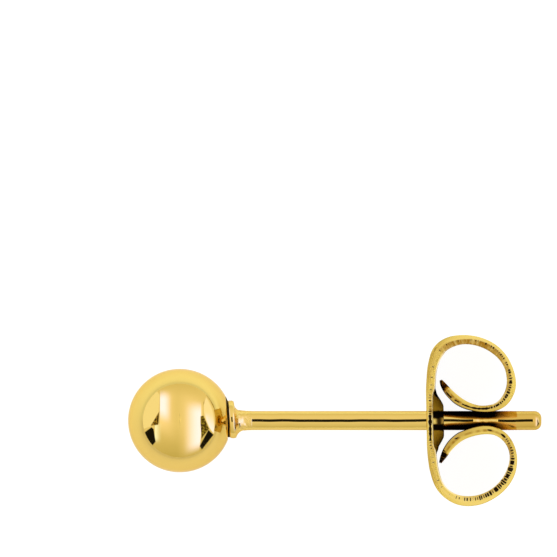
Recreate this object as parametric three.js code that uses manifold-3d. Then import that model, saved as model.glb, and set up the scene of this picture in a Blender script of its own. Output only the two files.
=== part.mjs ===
// A ball stud earring with its butterfly clutch pushed onto the post, lying on its side.
// Millimetres, +Z up. +X runs along the post, from the ball to the post's free end, and +Y points
// to one of the clutch's two scrolls. The origin is on the surface the earring lies on, under the
// middle of its length.
import * as THREE from "three";
import { mergeVertices } from "three/addons/utils/BufferGeometryUtils.js";
import Module from "manifold-3d";

// The stud: a ball, a collar soldered to it and a straight post with a friction notch.
const BALL_R = 2.0;
const COLLAR_R = 0.75;
const COLLAR_BACK = 2.146; // back of the collar, from the ball's centre
const SEAM = 1.885; // the line between ball and collar, from the ball's centre
const POST_R = 0.37;
const POST_END = 13.946; // the post's free end, from the ball's centre
const POST_END_ROUND = 0.27;
const NOTCH_AT = 11.79; // middle of the friction notch, from the ball's centre
const NOTCH_LENGTH = 0.86;
const NOTCH_DEPTH = 0.045;

// The clutch: one stamped strip, dimpled and pierced in the middle, each half rolled into a scroll.
const PLATE_AT = 9.64; // middle of the plate's thickness, from the ball's centre
const PLATE_HALF = 0.9; // length of the plate's straight part to each side of the post
const BENDS = [
  // each rolls the strip further the same way: radius at mid thickness, sweep in degrees, facets
  { radius: 5.05, sweep: 16.6, steps: 3 },
  { radius: 1.0, sweep: 51.1, steps: 6 },
  { radius: 1.74, sweep: 108.9, steps: 13 },
  { radius: 0.98, sweep: 84.5, steps: 10 },
  { radius: 1.77, sweep: 76.5, steps: 13 },
];
const BLANK = [
  // the flat blank, at each distance from its middle: width and thickness
  { at: 0.0, width: 4.0, thick: 0.26 },
  { at: 0.9, width: 4.0, thick: 0.26 },
  { at: 2.0, width: 4.0, thick: 0.34 },
  { at: 5.2, width: 3.5, thick: 0.33 },
  { at: 8.3, width: 2.9, thick: 0.3 },
  { at: 10.37, width: 2.4, thick: 0.23 },
];
const TIP_ROUND = 1.2; // the blank's ends are rounded in plan
const TIP_FLAT = 0.5; // width left at the very end
const CRADLE = { at: 8.28, reach: 0.9, half: 0.5, depth: 0.11 }; // groove coined to cradle the post

// The dimple, drawn toward the post's free end, and the hole through it.
const DIMPLE_R = 1.31;
const DIMPLE_TOP_R = 0.62;
const DIMPLE_H = 0.43; // above the plate's back face
const SHEET = 0.22; // metal left in the dimple
const HOLE_R = 0.395;

const AROUND = 48; // segments round the stud and the dimple
const BALL_AT = (BALL_R - POST_END) / 2; // the ball's centre along X

const wasm = await Module();
wasm.setup();

// A closed geometry as a solid that can be joined and cut.
function solid(geometry) {
  const bare = geometry.clone();
  bare.deleteAttribute("normal");
  bare.deleteAttribute("uv");
  const g = mergeVertices(bare, 1e-5);
  const index = g.index.array;
  const faces = [];
  for (let i = 0; i < index.length; i += 3) {
    const [a, b, c] = [index[i], index[i + 1], index[i + 2]];
    if (a !== b && b !== c && c !== a) faces.push(a, b, c);
  }
  return new wasm.Manifold(
    new wasm.Mesh({
      numProp: 3,
      vertProperties: g.attributes.position.array,
      triVerts: new Uint32Array(faces),
    }),
  );
}

// A solid back as a geometry.
function geometryOf(made) {
  const m = made.getMesh();
  const g = new THREE.BufferGeometry();
  g.setAttribute("position", new THREE.BufferAttribute(new Float32Array(m.vertProperties), 3));
  g.setIndex(new THREE.BufferAttribute(new Uint32Array(m.triVerts), 1));
  g.computeVertexNormals();
  return g;
}

// A solid of revolution about the X axis from [along, radius] pairs that start and end on the axis.
function turned(profile) {
  const points = profile.map(([along, radius]) => new THREE.Vector2(radius, along));
  return new THREE.LatheGeometry(points, AROUND).rotateZ(-Math.PI / 2);
}

// Smooth 0..1 ramp.
function ease(x) {
  const t = Math.min(Math.max(x, 0), 1);
  return t * t * (3 - 2 * t);
}

// ---- the stud ----

function ballProfile(steps) {
  const last = Math.acos((SEAM - 0.03) / BALL_R);
  return Array.from({ length: steps + 1 }, (_, i) => {
    const a = Math.PI + ((last - Math.PI) * i) / steps;
    return [BALL_R * Math.cos(a), i === 0 ? 0 : BALL_R * Math.sin(a)];
  });
}

function collarProfile() {
  const round = 0.09;
  return [
    [SEAM, COLLAR_R - 0.05], // the seam
    [SEAM + 0.035, COLLAR_R - 0.015],
    [SEAM + 0.075, COLLAR_R],
    [COLLAR_BACK - round, COLLAR_R],
    [COLLAR_BACK - 0.3 * round, COLLAR_R - 0.3 * round],
    [COLLAR_BACK, COLLAR_R - round],
    [COLLAR_BACK + 0.004, 0.575], // solder fillet down to the post
    [COLLAR_BACK + 0.05, 0.515],
    [COLLAR_BACK + 0.12, 0.458],
    [COLLAR_BACK + 0.2, 0.412],
    [COLLAR_BACK + 0.3, 0.386],
    [COLLAR_BACK + 0.45, POST_R],
  ];
}

function notchProfile(steps) {
  return Array.from({ length: steps + 1 }, (_, i) => {
    const across = (2 * i) / steps - 1;
    return [
      NOTCH_AT + (across * NOTCH_LENGTH) / 2,
      POST_R - NOTCH_DEPTH * ease(1.6 * (1 - Math.abs(across))),
    ];
  });
}

function postEndProfile(steps) {
  return Array.from({ length: steps + 1 }, (_, i) => {
    const a = (Math.PI / 2) * (i / steps);
    return [
      POST_END - POST_END_ROUND * (1 - Math.sin(a)),
      POST_R - POST_END_ROUND * (1 - Math.cos(a)),
    ];
  }).concat([[POST_END, 0]]);
}

function studGeometry() {
  return turned([
    ...ballProfile(22),
    ...collarProfile(),
    ...notchProfile(8),
    ...postEndProfile(5),
  ]);
}

// ---- the clutch ----

// Width and thickness of the blank at a distance from its middle.
function blankAt(s) {
  const i = Math.max(1, BLANK.findIndex((row) => row.at >= s - 1e-9));
  const [a, b] = [BLANK[i - 1], BLANK[i]];
  const k = ease((s - a.at) / (b.at - a.at));
  const width = a.width + (b.width - a.width) * k;
  const thick = a.thick + (b.thick - a.thick) * k;
  const toEnd = BLANK[BLANK.length - 1].at - s;
  const bite = Math.max(0, TIP_ROUND - toEnd); // how far into the rounded end
  const round = 2 * Math.sqrt(Math.max(0, TIP_ROUND ** 2 - bite ** 2));
  return { width: Math.max(TIP_FLAT, Math.min(width, (width * round) / (2 * TIP_ROUND))), thick };
}

// Stations along one half, from the plate's middle to the tip: place, heading and distance run.
function halfPath() {
  const stations = [0, 0.33, 0.66, 1].map((k) => ({
    x: 0, y: PLATE_HALF * k, heading: Math.PI / 2, s: PLATE_HALF * k,
  }));
  for (const { radius, sweep, steps } of BENDS) {
    const from = stations[stations.length - 1];
    for (let i = 1; i <= steps; i++) {
      const turn = THREE.MathUtils.degToRad((sweep * i) / steps);
      const heading = from.heading - turn;
      stations.push({
        x: from.x + radius * (Math.sin(from.heading) - Math.sin(heading)),
        y: from.y - radius * (Math.cos(from.heading) - Math.cos(heading)),
        heading,
        s: from.s + radius * turn,
      });
    }
  }
  return stations;
}

// Depth of the cradle groove at a distance along the half and a distance across the strip.
function cradleAt(s, z) {
  const along = ease(1.5 * (1 - Math.abs(s - CRADLE.at) / CRADLE.reach));
  const across = 0.5 + 0.5 * Math.cos(Math.PI * Math.min(1, Math.abs(z) / CRADLE.half));
  return CRADLE.depth * along * across;
}

// One cross-section, as a ring of points: the outer face from -Z to +Z, grooved where it cradles
// the post, then the plain inner face back.
function section({ x, y, heading, s }, side) {
  const { width, thick } = blankAt(s);
  const outward = new THREE.Vector3(-Math.sin(heading), side * Math.cos(heading), 0);
  const middle = new THREE.Vector3(x, side * y, 0);
  const groove = Math.min(CRADLE.half, 0.3 * width);
  const across = [-width / 2, -groove, -groove / 2, 0, groove / 2, groove, width / 2];
  const at = (offset, z) => middle.clone().addScaledVector(outward, offset).setZ(z);
  return [
    ...across.map((z) => at(thick / 2 - cradleAt(s, z), z)),
    ...across.toReversed().map((z) => at(-thick / 2, z)),
  ];
}

function stripGeometry() {
  const half = halfPath();
  const rings = [
    ...half.slice(1).toReversed().map((station) => section(station, -1)),
    ...half.map((station) => section(station, 1)),
  ];
  const n = rings[0].length;
  const index = [];
  for (let r = 0; r + 1 < rings.length; r++) {
    for (let k = 0; k < n; k++) {
      const [a, b] = [r * n + k, r * n + ((k + 1) % n)];
      index.push(a, b, b + n, a, b + n, a + n);
    }
  }
  const lastRing = (rings.length - 1) * n;
  for (let k = 0; k < n / 2 - 1; k++) {
    // the two ends, closed between the outer and the inner face
    const [a, b, c, d] = [k, k + 1, n - 2 - k, n - 1 - k];
    index.push(a, c, b, a, d, c);
    index.push(lastRing + a, lastRing + b, lastRing + c, lastRing + a, lastRing + c, lastRing + d);
  }
  const g = new THREE.BufferGeometry();
  g.setAttribute(
    "position",
    new THREE.Float32BufferAttribute(rings.flat().flatMap((p) => [p.x, p.y, p.z]), 3),
  );
  g.setIndex(index);
  return g;
}

// The raised outside of the dimple, with its foot buried in the plate.
function dimpleGeometry(back) {
  return turned([
    [0, 0],
    [0, DIMPLE_R],
    [back, DIMPLE_R],
    [back + 0.82 * DIMPLE_H, DIMPLE_TOP_R + 0.14],
    [back + 0.94 * DIMPLE_H, DIMPLE_TOP_R + 0.04],
    [back + DIMPLE_H, DIMPLE_TOP_R - 0.08],
    [back + DIMPLE_H, 0],
  ]);
}

// What is hollow: the funnel on the ear side of the dimple, and the hole.
function funnelGeometry(back) {
  const floor = back + DIMPLE_H - SHEET;
  const slope = (DIMPLE_R - DIMPLE_TOP_R) / DIMPLE_H;
  const mouth = DIMPLE_R - 0.04;
  return turned([
    [-back - 0.2, 0],
    [-back - 0.2, mouth + 0.2 * slope],
    [-back, mouth],
    [floor - 0.03, DIMPLE_TOP_R - 0.07],
    [floor, DIMPLE_TOP_R - 0.15],
    [floor, HOLE_R + 0.02],
    [floor + 0.02, HOLE_R],
    [back + DIMPLE_H - 0.02, HOLE_R],
    [back + DIMPLE_H, HOLE_R + 0.02],
    [back + DIMPLE_H + 0.2, HOLE_R + 0.22],
    [back + DIMPLE_H + 0.2, 0],
  ]);
}

function clutchGeometry() {
  const back = BLANK[0].thick / 2;
  return geometryOf(
    solid(stripGeometry())
      .add(solid(dimpleGeometry(back)))
      .subtract(solid(funnelGeometry(back))),
  );
}

// ---- the earring ----

const gold = { color: 0xe3bd5f, roughness: 0.12, metalness: 1.0 };

const stud = new THREE.Mesh(studGeometry(), new THREE.MeshStandardMaterial(gold));
stud.name = "ball_stud";
stud.position.set(BALL_AT, 0, BALL_R);

const clutch = new THREE.Mesh(
  clutchGeometry(),
  new THREE.MeshStandardMaterial({ ...gold, color: 0xdcb04f, roughness: 0.2 }),
);
clutch.name = "butterfly_clutch";
clutch.position.set(BALL_AT + PLATE_AT, 0, BALL_R);

const earring = new THREE.Group();
earring.add(stud, clutch);

export default earring;
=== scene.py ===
# A ball stud earring with its butterfly clutch on the post, lying on its side on a white table.
# The CAD frame holds the stud and the clutch as two bodies; the pieces below dress each of them.
# Lengths are in millimetres until a mesh is made, which turns them into the frame's metres.
import math

import bpy
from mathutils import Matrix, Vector, noise


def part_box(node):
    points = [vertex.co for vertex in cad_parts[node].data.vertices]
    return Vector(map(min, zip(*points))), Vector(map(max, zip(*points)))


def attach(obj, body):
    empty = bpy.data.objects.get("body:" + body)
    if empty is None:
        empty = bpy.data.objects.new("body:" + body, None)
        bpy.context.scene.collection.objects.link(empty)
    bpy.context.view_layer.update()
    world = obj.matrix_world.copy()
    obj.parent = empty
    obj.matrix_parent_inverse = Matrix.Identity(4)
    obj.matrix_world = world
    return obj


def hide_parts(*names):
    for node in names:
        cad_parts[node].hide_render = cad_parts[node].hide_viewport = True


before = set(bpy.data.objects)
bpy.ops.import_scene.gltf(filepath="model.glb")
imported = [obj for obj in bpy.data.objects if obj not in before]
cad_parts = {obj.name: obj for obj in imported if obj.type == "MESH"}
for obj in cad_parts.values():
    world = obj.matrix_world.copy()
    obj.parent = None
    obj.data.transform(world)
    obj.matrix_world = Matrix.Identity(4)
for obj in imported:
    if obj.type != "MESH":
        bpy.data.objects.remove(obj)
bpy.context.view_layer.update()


# ---- the table and the light tent ----
# Jewellery is shot on a white table inside a tent of diffusing cloth. Two cool strip lights stand
# outside it, left and right, and what is left open between cloth and table shows as dark cards.
TABLE_SIZE = 0.6  # metres
PAPER_NEAR = (0.94, 0.915, 0.56)  # as lit in front of the earring, and behind it
PAPER_FAR = (1.07, 1.11, 0.68)
PAPER_FALLS_TO = 0.78  # how much of that light is left further out
PAPER_GLOW = 0.95  # what the camera sees of it, and the little more where no shadow falls
PAPER_SHADE = (0.21, 0.20, 0.13)

MM = 0.001


def linear(colour):
    """An sRGB hex colour as linear red, green, blue and alpha."""
    parts = [int(colour[i : i + 2], 16) / 255 for i in (1, 3, 5)]
    parts = [c / 12.92 if c <= 0.04045 else ((c + 0.055) / 1.055) ** 2.4 for c in parts]
    return (*parts, 1.0)


def add(tree, kind, inputs=(), **settings):
    """Adds a node with its settings. An input is a value, a socket, or a node's first output."""
    made = tree.nodes.new(kind)
    for name, value in settings.items():
        setattr(made, name, value)
    for key, value in dict(inputs).items():
        if isinstance(value, bpy.types.Node):
            value = value.outputs[0]
        if isinstance(value, bpy.types.NodeSocket):
            tree.links.new(value, made.inputs[key])
        else:
            made.inputs[key].default_value = value
    return made


# Each card of the tent: how bright it is in red, green and blue, and its corners, anticlockwise,
# as places on the upper half of a unit mirror ball seen from above. The third number is how
# softly the edge that starts at that corner fades.
STRIP_CORE = (1.45, 1.72, 5.6)
STRIP_GLOW = (1.32, 1.30, 1.75)
CLOTH = (1.15, 1.23, 1.48)
BLACK = (0.012, 0.012, 0.012)
CARDS = (
    # the strip lights' glow on the cloth, wide and soft inwards, then their cores
    (STRIP_GLOW, (
        (0.380, -0.66, 0.02), (0.43, -0.20, 0.02), (0.455, 0.46, 0.36), (-0.08, 0.74, 0.42),
        (-0.08, -0.92, 0.34),
    )),
    (STRIP_CORE, (
        (0.380, -0.60, 0.012), (0.415, -0.25, 0.012), (0.415, 0.40, 0.28), (0.06, 0.44, 0.32),
        (0.05, -0.74, 0.20),
    )),
    (STRIP_GLOW, (
        (-0.385, 0.62, 0.012), (-0.39, 0.10, 0.012), (-0.44, -0.30, 0.40), (-0.02, -0.56, 0.38),
        (-0.02, 0.70, 0.24),
    )),
    (STRIP_CORE, (
        (-0.385, 0.62, 0.012), (-0.392, -0.02, 0.26), (-0.14, -0.14, 0.18), (-0.14, 0.60, 0.22),
    )),
    # the strip on the left carries on below, fainter
    ((1.3, 1.7, 3.2), (
        (-0.485, -0.06, 0.012), (-0.495, -0.46, 0.14), (-0.34, -0.46, 0.16), (-0.34, -0.02, 0.05),
    )),
    # the cloth at the left and right
    (CLOTH, (
        (-0.385, 0.50, 0.02), (-0.455, 0.61, 0.02), (-0.56, 0.56, 0.06), (-0.65, 0.44, 0.09),
        (-0.76, 0.30, 0.10), (-0.81, 0.06, 0.10), (-0.79, -0.20, 0.015), (-0.56, -0.12, 0.015),
        (-0.405, 0.16, 0.01),
    )),
    ((1.24, 1.34, 2.0), (
        (0.485, 0.03, 0.012), (0.56, -0.14, 0.012), (0.656, -0.27, 0.012), (0.69, -0.14, 0.05),
        (0.69, 0.03, 0.05), (0.655, 0.22, 0.05), (0.59, 0.36, 0.03), (0.51, 0.48, 0.03),
        (0.45, 0.36, 0.02), (0.455, 0.16, 0.012),
    )),
    ((1.25, 1.62, 5.0), (
        (0.50, 0.02, 0.02), (0.57, -0.15, 0.02), (0.656, -0.27, 0.03), (0.68, -0.14, 0.03),
        (0.66, 0.12, 0.25), (0.56, 0.22, 0.12), (0.47, 0.18, 0.02),
    )),
    # seams of the cloth
    ((0.45, 0.38, 0.18), (
        (0.495, 0.50, 0.012), (0.578, 0.385, 0.012), (0.605, 0.405, 0.012), (0.515, 0.525, 0.012),
    )),
    ((0.45, 0.38, 0.18), (
        (0.575, 0.39, 0.012), (0.658, 0.22, 0.012), (0.688, 0.23, 0.012), (0.605, 0.405, 0.012),
    )),
    ((0.45, 0.38, 0.18), (
        (0.655, 0.23, 0.012), (0.690, 0.08, 0.012), (0.722, 0.09, 0.012), (0.688, 0.24, 0.012),
    )),
    ((0.50, 0.42, 0.20), (
        (0.45, 0.36, 0.012), (0.455, 0.16, 0.02), (0.475, 0.30, 0.02), (0.52, 0.50, 0.02),
    )),
    ((0.50, 0.42, 0.20), (
        (-0.385, 0.50, 0.012), (-0.40, 0.48, 0.012), (-0.48, 0.60, 0.012), (-0.45, 0.64, 0.012),
    )),
    ((0.70, 0.66, 0.40), (
        (-0.46, 0.63, 0.012), (-0.48, 0.60, 0.012), (-0.60, 0.48, 0.012), (-0.615, 0.50, 0.012),
    )),
    # the openings: dim crumpled cloth (two levels), then black
    (((0.42, 0.33, 0.10), (0.06, 0.04, 0.01)), (
        (-0.39, 0.20, 0.012), (-0.575, -0.11, 0.02), (-0.41, -0.09, 0.012),
    )),
    (BLACK, (
        (-0.548, -0.12, 0.012), (-0.68, -0.22, 0.012), (-0.65, -0.36, 0.012), (-0.525, -0.485, 0.012),
        (-0.46, -0.41, 0.012), (-0.50, -0.16, 0.012),
    )),
    (((0.34, 0.33, 0.09), (0.08, 0.06, 0.015)), (
        (0.393, 0.09, 0.012), (0.39, -0.03, 0.012), (0.413, -0.37, 0.02), (0.57, -0.165, 0.012),
        (0.46, 0.10, 0.012),
    )),
    (BLACK, ((0.55, -0.17, 0.012), (0.375, -0.49, 0.012), (0.425, -0.57, 0.012), (0.658, -0.275, 0.012))),
)
BASE_STOPS = (
    # the cloth overhead, from the near side to the far side
    (-0.72, 0.68), (-0.60, 0.73), (-0.35, 0.875), (-0.05, 1.03), (0.20, 1.06), (0.45, 1.00), (0.60, 0.93),
    (0.72, 0.86),
)
SLIT_HALF = 0.006  # the slit that the camera looks through, narrow along the post
SLIT_REACH = 0.135

world = bpy.data.worlds.new("light_tent")
bpy.context.scene.world = world
world.use_nodes = True
tent = world.node_tree
tent.nodes.clear()
# A direction's place on the mirror ball is halfway between it and straight up.
toward = add(tent, "ShaderNodeTexCoord").outputs["Generated"]
lifted = add(tent, "ShaderNodeVectorMath", {0: toward, 1: (0.0, 0.0, 1.0)}, operation="ADD")
place = add(tent, "ShaderNodeVectorMath", {0: lifted}, operation="NORMALIZE")
flat = add(tent, "ShaderNodeSeparateXYZ", {0: place})
height = add(tent, "ShaderNodeMapRange", {0: flat.outputs[1], 1: -1.0, 2: 1.0})
cloth = add(tent, "ShaderNodeValToRGB", {0: height})
ramp = cloth.color_ramp
ramp.interpolation = "B_SPLINE"
for position, level in BASE_STOPS:
    stop = ramp.elements.new((position + 1) / 2)
    stop.color = (level, level, level**1.8, 1.0)
ramp.elements.remove(ramp.elements[0])
ramp.elements.remove(ramp.elements[-1])
light = cloth.outputs["Color"]
crumple = add(tent, "ShaderNodeTexNoise", {"Vector": place, "Scale": 26.0, "Detail": 1.0})
crumple = add(tent, "ShaderNodeMapRange", {0: crumple, 1: 0.45, 2: 0.55}, interpolation_type="SMOOTHSTEP")
for level, corners in CARDS:
    if isinstance(level[0], tuple):
        light_fold, dark_fold = [(*fold, 1.0) for fold in level]
        folds = add(tent, "ShaderNodeMix", {"Factor": crumple, 6: light_fold, 7: dark_fold}, data_type="RGBA")
        shown = folds.outputs[2]
    else:
        shown = (*level, 1.0)
    cover = None
    for (x0, y0, soft), (x1, y1, _) in zip(corners, corners[1:] + corners[:1]):
        along = Vector((x1 - x0, y1 - y0)).normalized()
        inward = (-along.y / soft, along.x / soft, 0.0)
        edge = x0 * inward[0] + y0 * inward[1]
        inside = add(tent, "ShaderNodeVectorMath", {0: place, 1: inward}, operation="DOT_PRODUCT")
        fade = add(
            tent, "ShaderNodeMapRange", {0: inside.outputs["Value"], 1: edge, 2: edge + 1},
            interpolation_type="SMOOTHSTEP",
        )
        cover = add(tent, "ShaderNodeMath", {0: cover, 1: fade}, operation="MULTIPLY") if cover else fade
    light = add(tent, "ShaderNodeMix", {"Factor": cover, 6: light, 7: shown}, data_type="RGBA").outputs[2]
# The slit is dark, and its edges catch the light.
for half, level in ((2 * SLIT_HALF, 2.0), (SLIT_HALF, 0.02)):
    wide = add(tent, "ShaderNodeMath", {0: flat.outputs[0]}, operation="ABSOLUTE")
    tall = add(tent, "ShaderNodeMath", {0: flat.outputs[1]}, operation="ABSOLUTE")
    in_wide = add(tent, "ShaderNodeMath", {0: wide, 1: half}, operation="LESS_THAN")
    in_tall = add(tent, "ShaderNodeMath", {0: tall, 1: SLIT_REACH}, operation="LESS_THAN")
    cover = add(tent, "ShaderNodeMath", {0: in_wide, 1: in_tall}, operation="MULTIPLY")
    light = add(
        tent, "ShaderNodeMix", {"Factor": cover, 6: light, 7: (level, level, level, 1.0)}, data_type="RGBA"
    ).outputs[2]
# Behind the earring the backdrop itself is plain white.
seen = add(tent, "ShaderNodeLightPath").outputs["Is Camera Ray"]
light = add(
    tent, "ShaderNodeMix", {"Factor": seen, 6: light, 7: (1.1, 1.1, 1.1, 1.0)}, data_type="RGBA"
).outputs[2]
background = add(tent, "ShaderNodeBackground", {"Color": light, "Strength": 1.0})
add(tent, "ShaderNodeOutputWorld", {"Surface": background})

# White paper, lit well enough to look plain white. What the gold mirrors of it is the paper as the
# tent lights it, with the earring's own shade on it; its tone takes out the coolness of the lights.
paper = bpy.data.materials.new("white_backdrop_paper")
paper.use_nodes = True
tree = paper.node_tree
tree.nodes.clear()
spot = add(tree, "ShaderNodeTexCoord").outputs["Object"]
back = add(tree, "ShaderNodeSeparateXYZ", {0: spot}).outputs[1]
behind = add(tree, "ShaderNodeMapRange", {0: back, 1: -6 * MM, 2: 7 * MM})
lit = add(
    tree, "ShaderNodeMix", {"Factor": behind, 6: (*PAPER_NEAR, 1.0), 7: (*PAPER_FAR, 1.0)}, data_type="RGBA"
).outputs[2]
far = add(tree, "ShaderNodeVectorMath", {0: spot}, operation="LENGTH").outputs["Value"]
falls = add(tree, "ShaderNodeMapRange", {0: far, 1: 9 * MM, 2: 40 * MM, 3: 1.0, 4: PAPER_FALLS_TO})
tone = add(tree, "ShaderNodeVectorMath", {0: lit, "Scale": falls}, operation="SCALE")
mirrored = add(tree, "ShaderNodeBsdfDiffuse", {"Color": tone})
seen = add(tree, "ShaderNodeLightPath").outputs["Is Camera Ray"]
glow = add(tree, "ShaderNodeEmission", {"Strength": PAPER_GLOW})
shade = add(tree, "ShaderNodeBsdfDiffuse", {"Color": (*PAPER_SHADE, 1.0)})
pale = add(tree, "ShaderNodeAddShader", {0: glow, 1: shade})
either = add(tree, "ShaderNodeMixShader", {0: seen, 1: mirrored, 2: pale})
add(tree, "ShaderNodeOutputMaterial", {"Surface": either})
table_mesh = bpy.data.meshes.new("table")
half = TABLE_SIZE / 2
table_corners = [(-half, -half, 0), (half, -half, 0), (half, half, 0), (-half, half, 0)]
table_mesh.from_pydata(table_corners, [], [(0, 1, 2, 3)])
table_mesh.materials.append(paper)
table = bpy.data.objects.new("table", table_mesh)
bpy.context.scene.collection.objects.link(table)

# The camera looks straight down, with a lens so long that the earring is seen without perspective.
VIEW_WIDTH = 21.48
VIEW_AT = (-2.1685, 5.4786)  # middle of the view, from the middle of the earring
camera_data = bpy.data.cameras.new("camera")
camera_data.type = "ORTHO"
camera_data.ortho_scale = VIEW_WIDTH * MM
camera_data.clip_start = 0.01
camera = bpy.data.objects.new("camera", camera_data)
bpy.context.scene.collection.objects.link(camera)
camera.location = (VIEW_AT[0] * MM, VIEW_AT[1] * MM, 0.4)
bpy.context.scene.camera = camera
bpy.context.scene.view_settings.view_transform = "Standard"


# ---- the ball ----
# A round gold bead, buffed to a mirror. It is soldered to the collar on the post, so its back has a
# small flat seat there, ringed by a thin black line painted on as the shadow of the seam.
BALL_R = 2.0
SEAT = 1.855  # from the ball's centre
SEAM_AT = 1.828  # where the painted seam shadow starts, along the collar's own line
COLLAR_LEAN = math.radians(4.0)  # the collar went on a little out of square
BALL_STEPS = 96
BALL_AROUND = 160
low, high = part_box("ball_stud")
BALL_AT = Vector((low.x / MM + BALL_R, (low.y + high.y) / 2 / MM, (low.z + high.z) / 2 / MM))


def dressed(name, mesh, material, body, node):
    """A finished piece: its mesh with its material, riding on its body in place of its CAD node."""
    mesh.materials.clear()
    mesh.materials.append(material)
    piece = bpy.data.objects.new(name, mesh)
    bpy.context.scene.collection.objects.link(piece)
    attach(piece, body)
    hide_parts(node)
    return piece


def turned(name, profile, around, shape=None):
    """A closed, smooth solid of revolution about the post's line, from (along, radius) pairs that
    start and end on it, in millimetres from the ball's centre. shape may move each point."""
    rows = []
    points = []
    for along, radius in profile:
        count = 1 if radius == 0 else around
        rows.append(range(len(points), len(points) + count))
        for k in range(count):
            turn = 2 * math.pi * k / around
            point = Vector((along, radius * math.cos(turn), radius * math.sin(turn)))
            points.append(shape(point, radius, turn) if shape else point)
    faces = []
    for first, second in zip(rows, rows[1:]):
        for k in range(around):
            a, b = first[k % len(first)], first[(k + 1) % len(first)]
            c, d = second[(k + 1) % len(second)], second[k % len(second)]
            faces.append([v for i, v in enumerate((a, b, c, d)) if v not in (a, b, c, d)[:i]])
    mesh = bpy.data.meshes.new(name)
    mesh.from_pydata([(p + BALL_AT) * MM for p in points], [], faces)
    mesh.shade_smooth()
    mesh.set_sharp_from_angle(angle=math.radians(50))
    mesh.validate()
    return mesh


ball_profile = [
    (-BALL_R * math.cos(a), BALL_R * math.sin(a))
    for a in [math.acos(-SEAT / BALL_R) * i / BALL_STEPS for i in range(BALL_STEPS + 1)]
]
ball_profile[0] = (-BALL_R, 0)
ball_profile.append((SEAT, 0))

# Mirror-polished yellow gold plate: a deep, even mirror, only a breath less sharp than glass, with
# the cloth's wipe marks about a millimetre apart.
GOLD = linear("#e9c568")
RIM = linear("#ffeeca")  # keeps the metal's edges golden
# The seam's painted shadow, near black.
SEAM_SHADOW = linear("#140c05")
polished = bpy.data.materials.new("mirror_polished_gold_plate")
polished.use_nodes = True
tree = polished.node_tree
tree.nodes.clear()
spot = add(tree, "ShaderNodeTexCoord").outputs["Object"]
wipe = add(tree, "ShaderNodeTexNoise", {"Vector": spot, "Scale": 0.9 / MM, "Detail": 3.0})
rough = add(tree, "ShaderNodeMapRange", {0: wipe, 1: 0.3, 2: 0.7, 3: 0.03, 4: 0.06})
toward_collar = add(
    tree, "ShaderNodeVectorMath", {0: spot, 1: (1.0, math.tan(COLLAR_LEAN), 0.0)}, operation="DOT_PRODUCT"
).outputs["Value"]
seam = (BALL_AT.x + SEAM_AT + BALL_AT.y * math.tan(COLLAR_LEAN)) * MM
# Painted shadow: a thin black ring on the ball where it meets the collar.
seam_shadow = add(tree, "ShaderNodeMapRange", {0: toward_collar, 1: seam - 0.008 * MM, 2: seam + 0.008 * MM})
tint = add(tree, "ShaderNodeMix", {"Factor": seam_shadow, 6: GOLD, 7: SEAM_SHADOW}, data_type="RGBA")
rough = add(tree, "ShaderNodeMix", {"Factor": seam_shadow, 2: rough, 3: 0.6})
shader = add(
    tree, "ShaderNodeBsdfPrincipled",
    {"Base Color": tint.outputs[2], "Metallic": 1.0, "Specular Tint": RIM, "Roughness": rough},
)
add(tree, "ShaderNodeOutputMaterial", {"Surface": shader})
dressed("ball", turned("ball", ball_profile, BALL_AROUND), polished, "stud", "ball_stud")


# ---- the collar ----
# A small gold disc that carries the ball on the post, soldered on a few degrees out of square.
# Solder fills the corner behind it and stays a little lumpy, and its neck is painted black as the shadow of
# the seam.
NECK_TO = 1.888  # painted seam shadow up to here
COLLAR = (
    # from the ball's centre along the post, and radius: a disc with a narrow flat rim, then solder
    (1.78, 0.0), (1.78, 0.69), (1.885, 0.69), (1.889, 0.698), (1.902, 0.710), (1.92, 0.7195),
    (1.942, 0.7268), (1.962, 0.7298), (1.966, 0.73), (2.050, 0.73), (2.054, 0.7298), (2.076, 0.726),
    (2.10, 0.715), (2.123, 0.698), (2.14, 0.675), (2.15, 0.60), (2.157, 0.575), (2.19, 0.525),
    (2.23, 0.470), (2.275, 0.432), (2.346, 0.404), (2.446, 0.386), (2.60, 0.377), (2.78, 0.3715),
    (2.82, 0.33), (2.82, 0.0),
)
# How far the disc sits above the ball's centre line, and the solder below it, along the post.
COLLAR_UP = ((2.12, 0.045), (2.165, -0.045), (2.266, -0.027), (2.35, -0.004), (2.45, 0.0))
LEAN_TO = 2.6  # from here on nothing is left of the disc's lean
SOLDER_FROM = 2.14
SOLDER_TO = 2.62
LUMP = 0.022  # how far the solder's lumps stand out
LUMPS_PER_MM = 7.0
COLLAR_STEP = 0.02
COLLAR_AROUND = 96


def finer(profile, step):
    """The same profile with points at most a step apart."""
    made = [profile[0]]
    for (x0, r0), (x1, r1) in zip(profile, profile[1:]):
        parts = max(1, math.ceil(math.hypot(x1 - x0, r1 - r0) / step)) if r0 and r1 else 1
        made += [(x0 + (x1 - x0) * i / parts, r0 + (r1 - r0) * i / parts) for i in range(1, parts + 1)]
    return made


def soldered(point, radius, turn):
    """Lumps on the solder, and the lean of the disc, which fades out in the solder behind it."""
    lumps = min(1.0, max(0.0, (point.x - SOLDER_FROM) / 0.04))
    lumps *= min(1.0, max(0.0, (SOLDER_TO - point.x) / 0.1))
    if radius:
        grown = 1 + LUMP * lumps * noise.noise(point * LUMPS_PER_MM) / max(radius, 0.3)
        point = Vector((point.x, point.y * grown, point.z * grown))
    left = min(1.0, max(0.0, (LEAN_TO - point.x) / 0.45))
    up = COLLAR_UP[0][1]
    for (x0, u0), (x1, u1) in zip(COLLAR_UP, COLLAR_UP[1:]):
        if point.x > x0:
            up = u0 + (u1 - u0) * min(1.0, (point.x - x0) / (x1 - x0))
    return Vector((point.x - math.tan(COLLAR_LEAN * left) * point.y, point.y + up, point.z))


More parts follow.
